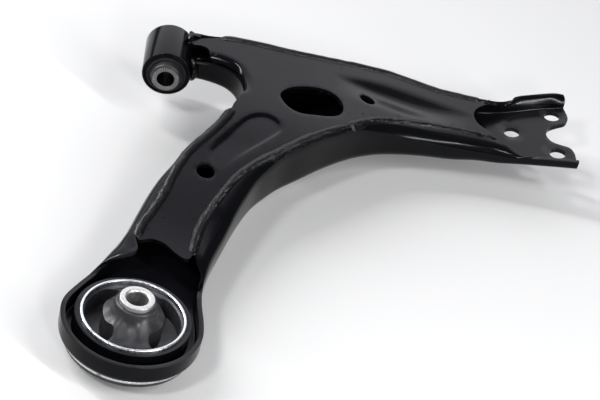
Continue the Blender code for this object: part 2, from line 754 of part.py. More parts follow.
def seam_bead(name, path, width=BEAD_WIDTH, height=BEAD_HEIGHT):
    """Domed bead lying over the seam between the closing plate and the shell."""
    arc = 5
    verts = []
    faces = []
    count = len(path)
    for i, p in enumerate(path):
        along = (path[min(i + 1, count - 1)] - path[max(i - 1, 0)]).normalized()
        side = Vector((along.y, -along.x))
        taper = math.sqrt(min(1.0, (min(i, count - 1 - i) + 0.35) / 1.6))
        half = 0.5 * width * taper
        for k in range(arc):
            a = math.pi * k / (arc - 1)
            q = p + side * half * math.cos(a)
            z = crown_height(q.x, q.y) + 2.0 * PART_GAP + height * taper * math.sin(a)
            verts.append((q.x, q.y, z))
    for i in range(count - 1):
        a = i * arc
        b = a + arc
        for k in range(arc):
            m = (k + 1) % arc
            faces.append((a + k, b + k, b + m, a + m))
    faces.append(tuple(range(arc)))
    faces.append(tuple(range((count - 1) * arc, count * arc)))
    return new_object(name, verts, faces, WELD_COAT, ARM)


def corner_bead(name, points, radius):
    """Round bead lying in a corner along a path of points."""
    curve = bpy.data.curves.new(name, "CURVE")
    curve.dimensions = "3D"
    curve.bevel_depth = radius * MM
    curve.bevel_resolution = 2
    curve.use_fill_caps = True
    line = curve.splines.new("POLY")
    line.points.add(len(points) - 1)
    for k, p in enumerate(points):
        line.points[k].co = (p[0] * MM, p[1] * MM, p[2] * MM, 1.0)
        line.points[k].radius = 0.75 if k in (0, len(points) - 1) else 1.0
    curve.materials.append(WELD_COAT)
    obj = bpy.data.objects.new(name, curve)
    ARM.objects.link(obj)
    return obj


def around_eye(radius, y, start, stop, count):
    """Points on a circle about the pivot axis, angles measured up from outboard."""
    points = []
    for k in range(count):
        a = math.radians(mix(start, stop, k / (count - 1)))
        points.append((radius * math.cos(a), y, EYE_Z + radius * math.sin(a)))
    return points


def build_welds():
    seam_bead("weld_outer_edge", seam_path((47.5, 206), (-6.6, 67)))
    seam_bead("weld_inner_edge_neck", seam_path((33.4, 63), (134, 222)))
    seam_bead("weld_inner_edge_outboard", seam_path((139, 227), (252, 267.4)))
    seam_bead("weld_far_edge", seam_path((246, 317.4), (36, 296.8)), 7.0, 2.2)
    corner_bead("weld_eye_top", [(13.4, y, 29.7) for y in (286.0, 287.6, 289.4, 291.0)], 3.0)
    corner_bead("weld_eye_near", around_eye(EYE_RADIUS + 2.9, 267.6, -18.0, 32.0, 9), 2.4)
    corner_bead("weld_eye_far", around_eye(EYE_RADIUS + 2.5, 299.9, -18.0, 50.0, 9), 2.0)


def centre_on_footprint():
    """Move the assembly so its footprint centre is the origin and it stands on Z zero."""
    bpy.context.view_layer.update()
    graph = bpy.context.evaluated_depsgraph_get()
    low = Vector((1e9, 1e9, 1e9))
    high = -low
    for obj in ARM.objects:
        shape = obj.evaluated_get(graph)
        mesh = shape.to_mesh()
        for v in mesh.vertices:
            p = shape.matrix_world @ v.co
            low = Vector(map(min, low, p))
            high = Vector(map(max, high, p))
        shape.to_mesh_clear()
    shift = Vector((-0.5 * (low.x + high.x), -0.5 * (low.y + high.y), -low.z))
    for group in (ARM, CUTTERS):
        for obj in group.objects:
            obj.location += shift


build_lower_shell()
build_closing_plate()
build_rear_bush()
build_front_bush()
build_welds()
centre_on_footprint()
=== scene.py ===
"""Finished look of the pressed-steel control arm.

Working frame, in millimetres, is the same as the CAD's: the rear bush stands on Z at the
origin, the pivot axis runs towards +Y and the ball-joint plate lies out along +X.
"""
import math

import bmesh
import bpy
import numpy as np
from mathutils import Matrix, Vector, noise
from mathutils.geometry import delaunay_2d_cdt


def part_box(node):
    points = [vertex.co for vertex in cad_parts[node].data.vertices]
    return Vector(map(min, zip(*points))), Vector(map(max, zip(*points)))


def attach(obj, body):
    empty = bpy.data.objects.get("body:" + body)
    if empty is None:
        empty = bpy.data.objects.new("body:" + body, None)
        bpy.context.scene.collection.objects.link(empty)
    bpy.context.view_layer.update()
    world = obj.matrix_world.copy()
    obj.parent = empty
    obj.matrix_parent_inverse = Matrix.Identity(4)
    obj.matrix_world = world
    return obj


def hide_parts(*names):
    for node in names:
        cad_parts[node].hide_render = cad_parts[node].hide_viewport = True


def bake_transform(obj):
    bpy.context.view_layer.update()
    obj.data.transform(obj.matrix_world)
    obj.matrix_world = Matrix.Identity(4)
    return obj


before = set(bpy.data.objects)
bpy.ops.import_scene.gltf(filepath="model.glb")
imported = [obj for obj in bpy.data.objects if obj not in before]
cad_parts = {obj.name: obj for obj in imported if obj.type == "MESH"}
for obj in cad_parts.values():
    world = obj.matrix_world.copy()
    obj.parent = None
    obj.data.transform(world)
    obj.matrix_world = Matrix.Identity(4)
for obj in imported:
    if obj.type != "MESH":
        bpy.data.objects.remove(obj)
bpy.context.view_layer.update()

MM = 0.001

# Driving dimensions, as in the CAD ------------------------------------------------------
SHELL_THICKNESS = 3.2
PLATE_THICKNESS = 3.0
OUTLINE_STEP = 2.4
PLATE_GRID = 3.4
FLOOR_GRID = 6.0
TURN_RINGS = 8
CUP_RADIUS = 46.5
CUP_RIM_Z = -4.0
CUP_FLOOR_Z = -18.2
COLLAR_CURVE = 3.4
COLLAR_TOP = -1.8
REAR_SHELL_RADIUS = 34.5
REAR_SHELL_WALL = 2.0
REAR_FLANGE_RADIUS = 43.4
REAR_FLANGE_LOW = -20.6
REAR_SLEEVE_RADIUS = 11.4
REAR_SLEEVE_BORE = 7.0
REAR_SLEEVE_TOP = 14.0
REAR_SLEEVE_BOTTOM = -34.0
POCKET_FLOOR = -16.0
EYE_Y = 280.0
EYE_Z = 13.0
EYE_RADIUS = 18.0
EYE_WALL = 2.0
EYE_HALF_LENGTH = 20.4
FRONT_SLEEVE_RADIUS = 9.7
FRONT_SLEEVE_BORE = 6.3
FRONT_SLEEVE_HALF_LENGTH = 27.2
SERRATIONS = 36
SERRATION_DEPTH = 0.7
BOLT_RADIUS = 6.25
BOLT_HOLES = ((273.2, 295.5), (306.3, 321.0), (306.3, 270.8))
PLATE_CENTRE_X = 295.0
PLATE_CENTRE_Z = 2.2
PLATE_SLOPE = 0.16
NEAR_LIP = 5.0
FAR_FLANGE = 7.6
FLANGE_LIP = 3.5
BEAD_WIDTH = 8.0
BEAD_HEIGHT = 2.0
BEAD_STEP = 0.42
CORNER_STEP = 0.4
TONGUE_DEPTH = 1.6
POCKET_OUTER = 31.2
POCKET_INNER = 20.0
POCKET_SPAN = 50.0
EYE_SEGMENTS = 96
EYE_CUTTER_REACH = 60.0
BORE_SHADE = (FRONT_SLEEVE_BORE + 0.15, FRONT_SLEEVE_BORE + 0.45)

SLEEVE_LOW, SLEEVE_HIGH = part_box("rear_bush_inner_sleeve")
ORIGIN = Vector((0.5 * (SLEEVE_LOW.x + SLEEVE_HIGH.x), 0.5 * (SLEEVE_LOW.y + SLEEVE_HIGH.y),
                 SLEEVE_LOW.z - REAR_SLEEVE_BOTTOM * MM))


# Height and outline maths ---------------------------------------------------------------

def smooth(value, start, stop):
    """Smooth step from 0 at start to 1 at stop."""
    t = np.clip((value - start) / (stop - start), 0.0, 1.0)
    return t * t * (3.0 - 2.0 * t)


def mix(a, b, t):
    return a + (b - a) * t


def soft_ramp(value, start, stop, width=12.0):
    """Straight ramp of slope one between start and stop, with rounded ends."""
    rise = np.logaddexp(0.0, (value - start) / width)
    fall = np.logaddexp(0.0, (value - stop) / width)
    return width * (rise - fall)


def ball_joint_plane(x):
    return PLATE_CENTRE_Z + PLATE_SLOPE * (x - PLATE_CENTRE_X)


def crown_height(x, y):
    """Top face of the closing plate, without its pressed shapes."""
    z = 8.0 + 0.17 * soft_ramp(y, 58.0, 200.0)
    z = z - 0.05 * soft_ramp(x, 40.0, 105.0) - 0.21 * soft_ramp(x, 108.0, 204.0)
    return z - 0.30 * soft_ramp(-x, -34.0, 0.0, 5.0) * smooth(y, 240.0, 262.0)


def underside_height(x, y):
    """Outer face of the floor of the lower shell."""
    z = CUP_FLOOR_Z + 0.035 * soft_ramp(y, 50.0, 200.0)
    leg = smooth(x, 100.0, 42.0) * smooth(y, 205.0, 262.0)
    z = mix(z, 4.0, leg)
    return mix(z, ball_joint_plane(x) - SHELL_THICKNESS, smooth(x, 205.0, 250.0))


def evened(path, step, closed):
    """Path divided evenly by arc length."""
    if closed:
        path = np.vstack([path, path[:1]])
    run = np.concatenate([[0.0], np.cumsum(np.linalg.norm(np.diff(path, axis=0), axis=1))])
    count = max(3, int(round(run[-1] / step)))
    at = np.linspace(0.0, run[-1], count + 1)
    if closed:
        at = at[:-1]
    return np.column_stack([np.interp(at, run, path[:, k]) for k in range(path.shape[1])])


def spline(points, step, closed=True, passes=2):
    """Even, slightly softened Catmull-Rom curve through the points."""
    points = np.array(points, float)
    count = len(points)
    out = []
    for i in range(count if closed else count - 1):
        ids = [(i + k - 1) % count if closed else min(max(i + k - 1, 0), count - 1) for k in range(4)]
        p = points[ids]
        for t in np.arange(0.0, 1.0, 0.1):
            out.append(0.5 * (2.0 * p[1] + (p[2] - p[0]) * t
                              + (2.0 * p[0] - 5.0 * p[1] + 4.0 * p[2] - p[3]) * t * t
                              + (3.0 * p[1] - p[0] - 3.0 * p[2] + p[3]) * t ** 3))
    if not closed:
        out.append(points[-1])
    path = evened(np.array(out), step, closed)
    for _ in range(passes if closed else 0):
        path = 0.25 * np.roll(path, 1, 0) + 0.5 * path + 0.25 * np.roll(path, -1, 0)
    return path


def outward_normals(loop):
    along = np.roll(loop, -1, 0) - np.roll(loop, 1, 0)
    normals = np.column_stack([along[:, 1], -along[:, 0]])
    return normals / np.linalg.norm(normals, axis=1)[:, None]


def inside(points, loop):
    """Which points lie within a closed loop."""
    a = loop
    b = np.roll(loop, -1, 0)
    x = points[:, :1]
    y = points[:, 1:2]
    spans = (a[:, 1] > y) != (b[:, 1] > y)
    rise = np.where(b[:, 1] == a[:, 1], 1e-9, b[:, 1] - a[:, 1])
    return (spans & (x < a[:, 0] + (y - a[:, 1]) * (b[:, 0] - a[:, 0]) / rise)).sum(1) % 2 == 1


def distance(points, path, closed=False):
    """Distance from each point to a path."""
    if closed:
        path = np.vstack([path, path[:1]])
    start = path[:-1]
    span = path[1:] - start
    gap = points[:, None, :] - start[None]
    t = np.clip((gap * span).sum(2) / (span ** 2).sum(1), 0.0, 1.0)
    return np.linalg.norm(gap - span * t[:, :, None], axis=2).min(1)


def reach(points, directions, loop, limit):
    """Distance from each point along its direction to the first crossing of a loop."""
    span = np.roll(loop, -1, 0) - loop
    gap = loop[None] - points[:, None]
    cross = directions[:, None, 0] * span[:, 1] - directions[:, None, 1] * span[:, 0]
    cross = np.where(np.abs(cross) < 1e-9, 1e-9, cross)
    along = (gap[:, :, 0] * span[:, 1] - gap[:, :, 1] * span[:, 0]) / cross
    across = (gap[:, :, 0] * directions[:, None, 1] - gap[:, :, 1] * directions[:, None, 0]) / cross
    hit = (across >= 0.0) & (across <= 1.0) & (along > 1e-6)
    return np.where(hit, along, limit).min(1).clip(max=limit)


def blurred(values, passes):
    """Values round a loop, softened."""
    for _ in range(passes):
        values = 0.25 * np.roll(values, 1) + 0.5 * values + 0.25 * np.roll(values, -1)
    return values


def corner_room(loop):
    """Largest safe inward offset at each point of a counter-clockwise loop."""
    before = loop - np.roll(loop, 1, 0)
    after = np.roll(loop, -1, 0) - loop
    turn = np.arctan2(before[:, 0] * after[:, 1] - before[:, 1] * after[:, 0],
                      (before * after).sum(1))
    turn = blurred(turn, 3)
    length = 0.5 * (np.linalg.norm(before, axis=1) + np.linalg.norm(after, axis=1))
    room = 0.75 * np.where(turn > 0.01, length / np.maximum(turn, 0.01), 60.0)
    room = np.minimum(room, 0.42 * reach(loop, -outward_normals(loop), loop, 80.0))
    near = np.min([np.roll(room, k) for k in range(-4, 5)], axis=0)
    return blurred(near, 6)


def circle(centre, radius, count):
    turn = np.arange(count) * math.tau / count
    return np.column_stack([centre[0] + radius * np.cos(turn), centre[1] + radius * np.sin(turn)])


# Outlines seen from above ---------------------------------------------------------------

SHELL_OUTLINE = spline(
    [(9, 274), (14.5, 271.8), (21, 270.4), (27, 269.6), (33, 268.4), (39, 266.6),
     (46, 263.4), (51.6, 258.2), (55.3, 250.6), (57.2, 242.4), (57.4, 233.8),
     (54, 223), (48, 213), (41.5, 202), (33, 184), (26.4, 171), (19.6, 158), (12, 144),
     (3.6, 127.5), (-2.6, 110), (-7.8, 91), (-12.4, 74), (-18, 60), (-28, 42), (-38, 25)]
    + [(CUP_RADIUS * math.cos(math.radians(a)), CUP_RADIUS * math.sin(math.radians(a)))
       for a in range(170, 371, 20)]
    + [(43.6, 25), (43, 39), (45, 53), (47.8, 66), (50.8, 77), (54, 88), (59, 106),
       (65, 124.5), (73, 144.5), (82.8, 160.5), (93, 174.5), (107.3, 189.8), (126, 210),
       (145, 227.2), (159.5, 236.8), (172, 242.6), (190, 248), (214, 252.2), (236, 254),
       (258, 254.6), (280, 254.8), (304, 254.2), (326, 253.5), (333, 256), (335, 264),
       (335, 295), (335, 328), (333, 336), (326, 338.5), (312, 336.5), (298, 333.5),
       (280, 328.5), (262, 324.3), (246, 322.2), (230, 321.6), (213, 321.8), (194, 323),
       (172, 322.6), (147, 317), (122, 309.5), (96, 304.2), (72, 303), (46, 302),
       (24, 298), (9, 296.6), (4.8, 294.6), (2.8, 291.0), (2.8, 285), (4.6, 280.4)],
    OUTLINE_STEP)

PLATE_OUTLINE = spline(
    [(31, 269.4), (36.4, 268.2), (41, 266.6), (46.2, 264), (51.6, 259), (55, 251.6),
     (56.7, 243), (56.9, 234), (53.6, 223.4), (49.5, 212.6), (46, 198.5), (37.4, 180.5),
     (26, 161.8), (20.6, 151), (13, 131), (6.6, 105), (-2.4, 81), (-5.4, 67), (-4.8, 63.2), (-1.4, 64),
     (3.6, 66.6), (9, 66.4), (14.6, 63.8), (20, 58.8), (25.4, 54.8), (29.6, 53.6),
     (32.4, 57.6), (33.6, 68), (35.2, 81), (38.8, 95), (46.2, 113.5), (56.2, 136),
     (69, 154.5), (83.3, 169.3), (98.3, 186), (113, 201), (126.5, 214.5), (141, 229.2),
     (154.5, 242.6), (168, 251.4), (182, 258.2), (197, 263.6), (211, 267), (228, 268.8),
     (245, 268.4), (254.6, 267.2), (256.4, 270), (250, 276), (243.4, 281), (240, 287.4),
     (239.2, 295), (241.8, 303), (248, 310), (254.4, 314.6), (251.8, 316.2), (245, 316.2),
     (230, 316.8), (213, 317), (194, 318.2), (173, 317.8), (148, 312.2), (122, 304.6),
     (96, 299.4), (72, 298.2), (46, 297), (30, 294.2), (14, 292.6), (8, 291.8), (6.6, 289.4),
     (8.6, 286), (14, 285.4), (21, 284.4), (26, 281.4), (28.6, 276.8), (29, 272.2)],
    0.8 * OUTLINE_STEP)

# Stretch of the leg wall that the closing plate rolls down over.
ROLL_PATH = spline(
    [(20, 270.2), (27, 269.3), (33, 268.1), (39, 266.2), (46, 262.9), (51, 257.6),
     (54.2, 250), (55.8, 242), (56, 233.8), (53, 224.6)],
    OUTLINE_STEP, closed=False)

OVAL_OUTLINE = spline(
    [(83, 238), (86, 244.5), (90.5, 250), (98, 255), (107, 259), (115, 261), (122, 260.8),
     (127.5, 258), (131, 253), (132.5, 245.5), (131.3, 238.5), (127.6, 232.4), (120, 227.4),
     (110, 223.8), (101, 221), (94, 221.8), (88.6, 225.8), (84.8, 231.6)],
    2.0)
NECK_HOLE = circle((34.8, 137.6), 6.4, 40)
ARM_HOLE = circle((152.2, 270.0), 6.0, 40)

TONGUE_OUTLINE = spline(
    [(47, 143), (55, 155.5), (65.4, 169), (77, 183), (86, 195.6), (84.4, 204), (76, 209.4),
     (66, 206.6), (57.6, 198), (46, 177), (36, 158), (38, 146)],
    3.0)

FORK_OUTLINE = spline(
    [(350, 240), (322, 245), (319.6, 262), (319, 272), (316, 279.6), (308.4, 283),
     (302, 287.4), (299.2, 295.6), (302, 304), (309, 309), (316, 313), (318.2, 320),
     (317, 329), (315.4, 337), (315, 346), (350, 352), (380, 295)],
    1.5)

LENS_SPAN = (126.0, 238.0)
LENS_DEPTH = 3.6
ROLL_WIDTH = 6.8
ROLL_DROP = 10.5


def plate_height(x, y):
    """Top face of the closing plate with its pressed shapes."""
    x = np.atleast_1d(np.asarray(x, float))
    y = np.atleast_1d(np.asarray(y, float))
    points = np.column_stack([x, y])
    z = crown_height(x, y)
    roll = ROLL_DROP * smooth(y, 226.0, 250.0)
    lean = np.clip(1.0 - distance(points, ROLL_PATH) / ROLL_WIDTH, 0.0, 0.995)
    z = z - np.where(x < 75.0, roll * (1.0 - np.sqrt(1.0 - lean * lean)), 0.0)
    depth = distance(points, TONGUE_OUTLINE, closed=True)
    signed = np.where(inside(points, TONGUE_OUTLINE), depth, -depth)
    z = z - TONGUE_DEPTH * smooth(signed, -1.0, 2.2) * smooth(y, 138.0, 176.0)
    along = np.clip((x - LENS_SPAN[0]) / (LENS_SPAN[1] - LENS_SPAN[0]), 0.0, 1.0)
    near = 285.6 + 6.0 * along
    width = 0.8 + 11.6 * np.sin(math.pi * along)
    climb = soft_ramp(y, near, near + width, 0.35) / width
    sink = smooth(y, near - 26.0, near) * (1.0 - climb)
    return z - LENS_DEPTH * np.sin(math.pi * along) * sink


# Node materials -------------------------------------------------------------------------

class Paint:
    """A node material built round one Principled shader."""

    def __init__(self, name, **settings):
        self.mat = bpy.data.materials.new(name)
        self.mat.use_nodes = True
        self.tree = self.mat.node_tree
        self.shader = self.tree.nodes["Principled BSDF"]
        for key, value in settings.items():
            self.shader.inputs[key.replace("_", " ")].default_value = value
        coords = self.tree.nodes.new("ShaderNodeTexCoord")
        self.place = coords.outputs["Object"]
        self.normal = None

    def link(self, a, b):
        self.tree.links.new(a, b)

    def stretched(self, scale):
        node = self.tree.nodes.new("ShaderNodeMapping")
        node.inputs["Scale"].default_value = scale
        self.link(self.place, node.inputs["Vector"])
        return node.outputs["Vector"]

    def noise(self, scale, detail=3.0, rough=0.55, place=None):
        node = self.tree.nodes.new("ShaderNodeTexNoise")
        node.inputs["Scale"].default_value = scale
        node.inputs["Detail"].default_value = detail
        node.inputs["Roughness"].default_value = rough
        self.link(place or self.place, node.inputs["Vector"])
        return node.outputs["Fac"]

    def span(self, value, low, high, to_low, to_high):
        node = self.tree.nodes.new("ShaderNodeMapRange")
        node.clamp = True
        self.link(value, node.inputs["Value"])
        for key, number in zip(("From Min", "From Max", "To Min", "To Max"),
                               (low, high, to_low, to_high)):
            node.inputs[key].default_value = number
        return node.outputs["Result"]

    def maths(self, operation, a, b):
        node = self.tree.nodes.new("ShaderNodeMath")
        node.operation = operation
        for slot, value in zip(node.inputs, (a, b)):
            if isinstance(value, (int, float)):
                slot.default_value = value
            else:
                self.link(value, slot)
        return node.outputs[0]

    def blend(self, factor, a, b):
        node = self.tree.nodes.new("ShaderNodeMix")
        node.data_type = "RGBA"
        self.link(factor, node.inputs["Factor"])
        for slot, value in ((node.inputs[6], a), (node.inputs[7], b)):
            if isinstance(value, tuple):
                slot.default_value = (*value, 1.0)
            else:
                self.link(value, slot)
        return node.outputs[2]

    def upward(self, low, high):
        """1 where the surface faces up, 0 where it stands."""
        geometry = self.tree.nodes.new("ShaderNodeNewGeometry")
        split = self.tree.nodes.new("ShaderNodeSeparateXYZ")
        self.link(geometry.outputs["True Normal"], split.inputs["Vector"])
        return self.span(split.outputs["Z"], low, high, 0.0, 1.0)

    def edges(self, low, high):
        """1 on convex edges."""
        geometry = self.tree.nodes.new("ShaderNodeNewGeometry")
        return self.span(geometry.outputs["Pointiness"], low, high, 0.0, 1.0)

    def bump(self, height, depth, strength=1.0):
        node = self.tree.nodes.new("ShaderNodeBump")
        node.inputs["Strength"].default_value = strength
        node.inputs["Distance"].default_value = depth * MM
        self.link(height, node.inputs["Height"])
        if self.normal:
            self.link(self.normal, node.inputs["Normal"])
        self.normal = node.outputs["Normal"]
        self.link(self.normal, self.shader.inputs["Normal"])

    def colour(self, value):
        self.link(value, self.shader.inputs["Base Color"])

    def roughness(self, value):
        self.link(value, self.shader.inputs["Roughness"])


def black_coat():
    """Black dip coat over pressed sheet: glossy where it stands, filmed with dust where it lies."""
    paint = Paint("black_coat", Specular_IOR_Level=0.10)
    tone = paint.blend(paint.noise(38.0, 4.0), (0.0010, 0.0011, 0.0015), (0.0026, 0.0027, 0.0034))
    flat = paint.upward(0.90, 0.99)
    film = paint.maths("MULTIPLY", flat, paint.span(paint.noise(60.0, 5.0), 0.3, 0.75, 0.5, 0.9))
    tone = paint.blend(film, tone, (0.0046, 0.0046, 0.0062))
    specks = paint.span(paint.noise(1400.0, 2.0), 0.72, 0.79, 0.0, 0.5)
    tone = paint.blend(specks, tone, (0.050, 0.052, 0.058))
    # Painted highlight: convex edges are lightened to stand in for light caught on rounded rims.
    tone = paint.blend(paint.edges(0.545, 0.66), tone, (0.013, 0.013, 0.015))
    paint.colour(tone)
    grain = paint.span(paint.noise(900.0, 2.0), 0.3, 0.7, -0.02, 0.02)
    patches = paint.span(paint.noise(45.0, 4.0, 0.55), 0.3, 0.75, 0.0, 0.04)
    dull = paint.maths("MULTIPLY", flat, 0.05)
    paint.roughness(paint.maths("ADD", paint.maths("ADD", grain, patches), paint.maths("ADD", dull, 0.13)))
    paint.bump(paint.noise(22.0, 2.0, 0.4), 0.35, 0.3)
    paint.bump(paint.noise(700.0, 2.0, 0.5), 0.05, 0.3)
    return paint.mat


def weld_coat():
    """Glossy black coat over rippled weld metal with silica specks."""
    paint = Paint("weld_coat", Specular_IOR_Level=0.24)
    tone = paint.blend(paint.noise(160.0, 4.0), (0.0012, 0.0012, 0.0016), (0.0042, 0.0042, 0.0052))
    specks = paint.span(paint.noise(620.0, 2.0), 0.72, 0.78, 0.0, 0.7)
    tone = paint.blend(specks, tone, (0.12, 0.115, 0.105))
    paint.colour(tone)
    paint.roughness(paint.span(paint.noise(240.0, 3.0), 0.3, 0.7, 0.08, 0.22))
    paint.bump(paint.noise(380.0, 3.0, 0.5), 0.9, 0.7)
    paint.bump(paint.noise(1100.0, 2.0, 0.5), 0.12, 0.4)
    return paint.mat


def zinc_steel():
    """Bright zinc plate, drawn round the ring, with brown grime by the rubber."""
    paint = Paint("zinc_steel", Metallic=1.0)
    streaks = paint.noise(24.0, 4.0, 0.6, paint.stretched((1.0, 1.0, 60.0)))
    tone = paint.blend(streaks, (0.42, 0.43, 0.45), (0.80, 0.82, 0.85))
    grime_and_gap_shade = paint.span(paint.noise(110.0, 5.0, 0.65), 0.56, 0.70, 0.0, 0.8)
    tone = paint.blend(grime_and_gap_shade, tone, (0.085, 0.060, 0.042))
    paint.colour(tone)
    paint.roughness(paint.span(paint.noise(420.0, 3.0), 0.3, 0.7, 0.22, 0.42))
    paint.bump(paint.noise(650.0, 3.0), 0.06, 0.5)
    return paint.mat


def sleeve_steel(name, toothed):
    """Cut steel tube end: bright and speckled; a toothed one has painted shade in its tooth gaps and bore.
    """
    paint = Paint(name, Metallic=1.0)
    grain = paint.noise(1500.0, 3.0, 0.7)
    tone = paint.blend(paint.span(grain, 0.35, 0.65, 0.0, 1.0), (0.30, 0.30, 0.29), (0.74, 0.74, 0.73))
    stain = paint.span(paint.noise(160.0, 4.0, 0.6), 0.58, 0.74, 0.0, 0.55)
    tone = paint.blend(stain, tone, (0.16, 0.13, 0.11))
    if toothed:
        split = paint.tree.nodes.new("ShaderNodeSeparateXYZ")
        paint.link(paint.place, split.inputs["Vector"])
        height = paint.maths("SUBTRACT", split.outputs["Z"], EYE_Z * MM)
        angle = paint.maths("ARCTAN2", height, split.outputs["X"])
        wave = paint.maths("COSINE", paint.maths("MULTIPLY", angle, SERRATIONS), 0.0)
        # Painted shade: the gaps between the end teeth are darkened nearly to black.
        grime_and_gap_shade = paint.span(wave, -0.35, 0.15, 0.0, 0.97)
        tone = paint.blend(grime_and_gap_shade, tone, (0.010, 0.009, 0.008))
        # Painted shade: the bore is darkened inside its rim.
        across = paint.maths("POWER", split.outputs["X"], 2.0)
        radius = paint.maths("SQRT", paint.maths("ADD", across, paint.maths("POWER", height, 2.0)), 0.0)
        bore = paint.span(radius, BORE_SHADE[0] * MM, BORE_SHADE[1] * MM, 0.93, 0.0)
        tone = paint.blend(bore, tone, (0.012, 0.012, 0.013))
    paint.colour(tone)
    paint.roughness(paint.span(paint.noise(900.0, 3.0), 0.3, 0.7, 0.30, 0.52))
    paint.bump(grain, 0.07, 0.7)
    return paint.mat


def bush_rubber():
    """Moulded rubber: satin, a little dusty, with a faint brown bloom."""
    paint = Paint("bush_rubber", Specular_IOR_Level=0.45)
    tone = paint.blend(paint.noise(90.0, 5.0, 0.6), (0.006, 0.006, 0.008), (0.020, 0.020, 0.023))
    bloom = paint.span(paint.noise(65.0, 4.0, 0.6), 0.58, 0.72, 0.0, 0.5)
    tone = paint.blend(bloom, tone, (0.040, 0.026, 0.020))
    dust = paint.span(paint.noise(1300.0, 2.0), 0.72, 0.78, 0.0, 0.7)
    tone = paint.blend(dust, tone, (0.16, 0.15, 0.14))
    paint.colour(tone)
    paint.roughness(paint.span(paint.noise(160.0, 4.0), 0.3, 0.7, 0.32, 0.52))
    paint.bump(paint.noise(150.0, 3.0, 0.5), 0.25, 0.3)
    paint.bump(paint.noise(1400.0, 2.0), 0.04, 0.5)
    return paint.mat


BLACK_COAT = black_coat()
WELD_COAT = weld_coat()
ZINC = zinc_steel()
SLEEVE_STEEL = sleeve_steel("sleeve_steel", False)
TOOTHED_STEEL = sleeve_steel("toothed_steel", True)
BUSH_RUBBER = bush_rubber()


# Mesh helpers ---------------------------------------------------------------------------

def new_object(name, verts, faces, mat, sheet_side=0):
    """Object from millimetre vertices; a sheet faces up (1) or down (-1), a solid faces out."""
    mesh = bpy.data.meshes.new(name)
    mesh.from_pydata([tuple(float(c) * MM for c in v) for v in verts], [], faces)
    bm = bmesh.new()
    bm.from_mesh(mesh)
    bmesh.ops.remove_doubles(bm, verts=bm.verts, dist=0.01 * MM)
    bmesh.ops.recalc_face_normals(bm, faces=bm.faces)
    if sheet_side:
        facing = sum(face.normal.z * face.calc_area() for face in bm.faces)
        if facing * sheet_side < 0.0:
            bmesh.ops.reverse_faces(bm, faces=bm.faces)
    bm.to_mesh(mesh)
    bm.free()
    if mat:
        mesh.materials.append(mat)
    obj = bpy.data.objects.new(name, mesh)
    obj.location = ORIGIN
    bpy.context.scene.collection.objects.link(obj)
    return obj


def prism(name, loop, low_z, high_z):
    """Upright cutter over a closed outline."""
    count = len(loop)
    verts = [(*p, low_z) for p in loop] + [(*p, high_z) for p in loop]
    faces = [tuple(range(count)), tuple(range(count, 2 * count))]
    faces += [(i, (i + 1) % count, (i + 1) % count + count, i + count) for i in range(count)]
    return new_object(name, verts, faces, None)


def eye_cutter():
    """Cutter for the front eye. Its two ends start at one height and merge, so it cuts nothing."""
    loop = circle((0.0, EYE_Z), EYE_RADIUS - 0.1, EYE_SEGMENTS)
    cutter = prism("eye_cutter", loop, 0.0, 0.0)
    for k, v in enumerate(cutter.data.vertices):
        x, z = loop[k % EYE_SEGMENTS]
        end = EYE_CUTTER_REACH if k < EYE_SEGMENTS else -EYE_CUTTER_REACH
        v.co = Vector((x, EYE_Y + end, z)) * MM
    bm = bmesh.new()
    bm.from_mesh(cutter.data)
    bmesh.ops.recalc_face_normals(bm, faces=bm.faces)
    bm.to_mesh(cutter.data)
    bm.free()
    return cutter


def add_cut(obj, cutter):
    mod = obj.modifiers.new(cutter.name, "BOOLEAN")
    mod.operation = "DIFFERENCE"
    mod.solver = "EXACT"
    mod.object = cutter


def add_thickness(obj, thickness, even):
    mod = obj.modifiers.new("thickness", "SOLIDIFY")
    mod.thickness = thickness * MM
    mod.offset = -1.0
    mod.use_even_offset = even


def add_bevel(obj, width, angle=50.0, segments=3):
    mod = obj.modifiers.new("edges", "BEVEL")
    mod.width = width * MM
    mod.segments = segments
    mod.limit_method = "ANGLE"
    mod.angle_limit = math.radians(angle)
    mod.use_clamp_overlap = True


def finished(obj, cutters=(), sharp=42.0):
    """Applies the modifiers, clears the cutters away and smooths the surface."""
    graph = bpy.context.evaluated_depsgraph_get()
    graph.update()
    mesh = bpy.data.meshes.new_from_object(obj.evaluated_get(graph))
    obj.modifiers.clear()
    obj.data = mesh
    mesh.shade_smooth()
    mesh.set_sharp_from_angle(angle=math.radians(sharp))
    for cutter in cutters:
        bpy.data.objects.remove(cutter, do_unlink=True)
    return obj


def on_body(obj, body, slot, *nodes):
    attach(obj, body)
    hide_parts(*nodes)


